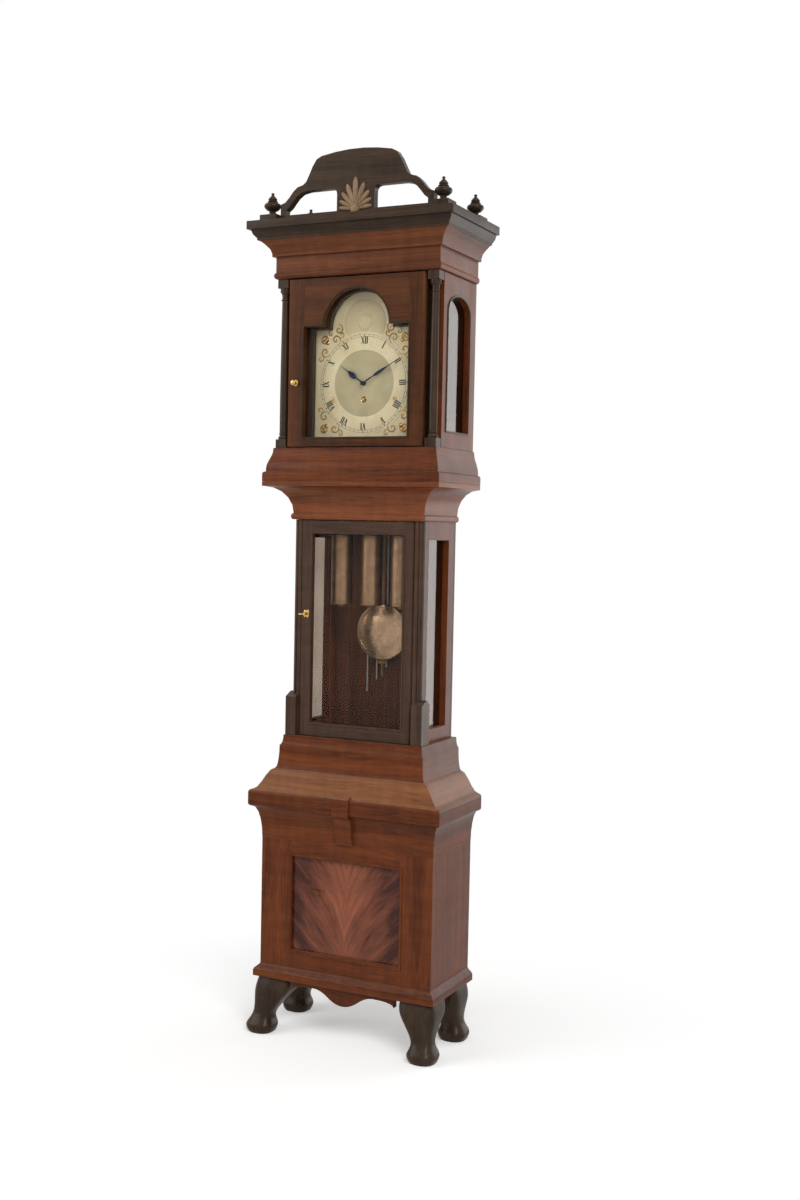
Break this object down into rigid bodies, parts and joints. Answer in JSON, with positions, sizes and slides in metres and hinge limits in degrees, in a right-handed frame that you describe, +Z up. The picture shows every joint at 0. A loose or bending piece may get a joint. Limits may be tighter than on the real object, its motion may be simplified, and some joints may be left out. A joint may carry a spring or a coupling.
{
  "type": "tall case clock",
  "caption": "Tall mahogany case clock with an arched dial, glazed trunk door and sides, hanging weights, a pendulum, a pierced crest and carved feet.",
  "frame": {"origin": "on the floor, under the middle of the clock's overall width and depth", "axes": "+X to the right of a person who faces the clock, -Y out of its front, +Y towards the wall, +Z up"},
  "size_m": [0.572, 0.292, 2.2499],
  "materials": {
    "mahogany": "polished",
    "dark_wood": "polished",
    "figured_wood": "polished",
    "inner_wood": "plain",
    "plain_wood": "plain",
    "glass": "clear",
    "polished_brass": "polished",
    "cast_brass": "satin",
    "steel": "satin",
    "blued_steel": "blued",
    "painted_dial": "painted"
  },
  "bodies": {
    "case": {"foot_front_left": "dark_wood", "foot_front_right": "dark_wood", "foot_rear_left": "dark_wood", "foot_rear_right": "dark_wood", "base_plinth": "mahogany", "base_case": "mahogany", "base_front_panel": "figured_wood", "base_top_moulding": "mahogany", "trunk_side_left": "mahogany", "trunk_side_right": "mahogany", "trunk_glass_left": "glass", "trunk_glass_right": "glass", "throat_moulding": "mahogany", "backboard": "inner_wood", "seatboard": "plain_wood", "movement_front_plate": "cast_brass", "movement_back_plate": "cast_brass", "dial": "painted_dial", "chime_rods": "steel", "weight_cable_left": "steel", "weight_cable_centre": "steel", "weight_cable_right": "steel"},
    "hood": {"hood_base_moulding": "mahogany", "hood_side_left": "mahogany", "hood_side_right": "mahogany", "hood_glass_left": "glass", "hood_glass_right": "glass", "hood_column_left": "dark_wood", "hood_column_right": "dark_wood", "hood_front_board": "dark_wood", "hood_cornice": "dark_wood", "hood_roof": "plain_wood", "hood_crest": "dark_wood", "finial_front_left": "dark_wood", "finial_front_right": "dark_wood", "finial_rear_left": "dark_wood", "finial_rear_right": "dark_wood"},
    "hood_door": {"hood_door_frame": "mahogany", "hood_door_glass": "glass", "hood_door_knob": "polished_brass"},
    "trunk_door": {"trunk_door_frame": "dark_wood", "trunk_door_glass": "glass"},
    "trunk_key": {"trunk_door_key": "polished_brass"},
    "minute_train": {"minute_hand": "blued_steel"},
    "hour_train": {"hour_hand": "blued_steel"},
    "third_train": {"third_wheel": "cast_brass"},
    "escape_train": {"escape_wheel": "cast_brass"},
    "anchor": {"anchor": "steel"},
    "pendulum": {"pendulum_rod": "plain_wood", "pendulum_bob": "polished_brass"},
    "rating_nut": {"rating_nut": "cast_brass"},
    "drum_left": {"drum_left": "cast_brass"},
    "weight_left": {"weight_left": "polished_brass"},
    "pulley_left": {"weight_pulley_left": "cast_brass"},
    "drum_centre": {"drum_centre": "cast_brass"},
    "weight_centre": {"weight_centre": "polished_brass"},
    "pulley_centre": {"weight_pulley_centre": "cast_brass"},
    "drum_right": {"drum_right": "cast_brass"},
    "weight_right": {"weight_right": "polished_brass"},
    "pulley_right": {"weight_pulley_right": "cast_brass"}
  },
  "joints": [
    {"name": "hood_slide", "type": "slide", "parent": "case", "child": "hood", "axis": [0, -1, 0], "range_m": [0, 0.26]},
    {"name": "hood_door_hinge", "type": "hinge", "parent": "hood", "child": "hood_door", "pos_m": [0.1795, -0.075, 1.73], "axis": [0, 0, 1], "range_deg": [0, 100]},
    {"name": "trunk_door_hinge", "type": "hinge", "parent": "case", "child": "trunk_door", "pos_m": [0.1485, -0.043, 1.055], "axis": [0, 0, 1], "range_deg": [0, 95]},
    {"name": "trunk_key_turn", "type": "hinge", "parent": "trunk_door", "child": "trunk_key", "pos_m": [-0.1445, -0.06, 1.092], "axis": [0, 1, 0], "range_deg": [0, 90]},
    {"name": "minute_turn", "type": "hinge", "parent": "case", "child": "minute_train", "pos_m": [0, 0, 1.68], "axis": [0, 1, 0], "continuous": true},
    {"name": "hour_turn", "type": "hinge", "parent": "case", "child": "hour_train", "pos_m": [0, 0, 1.68], "axis": [0, 1, 0], "continuous": true},
    {"name": "third_turn", "type": "hinge", "parent": "case", "child": "third_train", "pos_m": [0.02685, 0, 1.70261], "axis": [0, 1, 0], "continuous": true},
    {"name": "escape_turn", "type": "hinge", "parent": "case", "child": "escape_train", "pos_m": [0, 0, 1.716], "axis": [0, 1, 0], "continuous": true},
    {"name": "pendulum_swing", "type": "hinge", "parent": "case", "child": "pendulum", "pos_m": [0, 0.1, 1.743], "axis": [0, 1, 0], "range_deg": [-3, 3]},
    {"name": "anchor_rock", "type": "hinge", "parent": "case", "child": "anchor", "pos_m": [0, 0.05, 1.743], "axis": [0, 1, 0], "range_deg": [-3, 3]},
    {"name": "rating_nut_turn", "type": "hinge", "parent": "pendulum", "child": "rating_nut", "pos_m": [0, 0.1, 0.963], "axis": [0, 0, 1], "range_deg": [-360, 360]},
    {"name": "weight_left_fall", "type": "slide", "parent": "case", "child": "weight_left", "axis": [0, 0, -1], "range_m": [0, 0.88], "deforming": ["weight_cable_left"]},
    {"name": "drum_left_turn", "type": "hinge", "parent": "case", "child": "drum_left", "pos_m": [-0.086, 0.0285, 1.64], "axis": [0, -1, 0], "range_deg": [0, 4770]},
    {"name": "pulley_left_turn", "type": "hinge", "parent": "weight_left", "child": "pulley_left", "pos_m": [-0.086, 0.0285, 1.355], "axis": [0, -1, 0], "range_deg": [0, 2385]},
    {"name": "weight_centre_fall", "type": "slide", "parent": "case", "child": "weight_centre", "axis": [0, 0, -1], "range_m": [0, 0.88], "deforming": ["weight_cable_centre"]},
    {"name": "drum_centre_turn", "type": "hinge", "parent": "case", "child": "drum_centre", "pos_m": [0, 0.0285, 1.64], "axis": [0, -1, 0], "range_deg": [0, 4770]},
    {"name": "pulley_centre_turn", "type": "hinge", "parent": "weight_centre", "child": "pulley_centre", "pos_m": [0, 0.0285, 1.355], "axis": [0, -1, 0], "range_deg": [0, 2385]},
    {"name": "weight_right_fall", "type": "slide", "parent": "case", "child": "weight_right", "axis": [0, 0, -1], "range_m": [0, 0.88], "deforming": ["weight_cable_right"]},
    {"name": "drum_right_turn", "type": "hinge", "parent": "case", "child": "drum_right", "pos_m": [0.086, 0.0285, 1.64], "axis": [0, -1, 0], "range_deg": [0, 4770]},
    {"name": "pulley_right_turn", "type": "hinge", "parent": "weight_right", "child": "pulley_right", "pos_m": [0.086, 0.0285, 1.355], "axis": [0, -1, 0], "range_deg": [0, 2385]}
  ],
  "couplings": [
    {"joint": "hour_turn", "follows": "minute_turn", "ratio": 0.083333},
    {"joint": "third_turn", "follows": "minute_turn", "ratio": -8},
    {"joint": "escape_turn", "follows": "minute_turn", "ratio": 72},
    {"joint": "anchor_rock", "follows": "pendulum_swing", "ratio": 1},
    {"joint": "drum_left_turn", "follows": "weight_left_fall", "rad_per_m": 94.34},
    {"joint": "pulley_left_turn", "follows": "weight_left_fall", "rad_per_m": 47.17},
    {"joint": "drum_centre_turn", "follows": "weight_centre_fall", "rad_per_m": 94.34},
    {"joint": "pulley_centre_turn", "follows": "weight_centre_fall", "rad_per_m": 47.17},
    {"joint": "drum_right_turn", "follows": "weight_right_fall", "rad_per_m": 94.34},
    {"joint": "pulley_right_turn", "follows": "weight_right_fall", "rad_per_m": 47.17}
  ]
}
